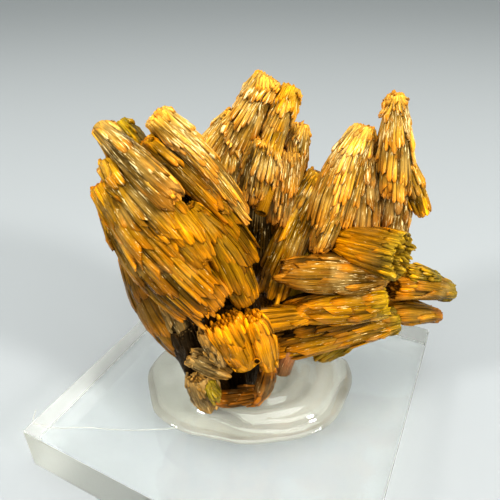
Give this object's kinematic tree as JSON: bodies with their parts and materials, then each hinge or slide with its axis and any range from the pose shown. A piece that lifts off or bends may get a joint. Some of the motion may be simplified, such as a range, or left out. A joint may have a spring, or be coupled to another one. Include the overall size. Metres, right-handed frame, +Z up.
{
  "type": "pyromorphite specimen",
  "caption": "Cluster of orange-brown pyromorphite in fanned sheaves of stepped prisms, held by clear glue on a small square clear acrylic block.",
  "frame": {"origin": "centre of the acrylic block's underside", "axes": "+Z up through the specimen, +X and +Y along the block's sides. The side it is shown from faces -Y turned 26.5 degrees towards +X"},
  "size_m": [0.0401, 0.038, 0.042],
  "materials": {
    "acrylic": "clear, polished faces and sawn edges",
    "glue": "clear, slightly milky, smooth",
    "crystal": "resinous, striated"
  },
  "bodies": {
    "root": {"acrylic_base": "acrylic", "clear_glue": "glue", "crystal_cluster": "crystal"}
  },
  "joints": []
}
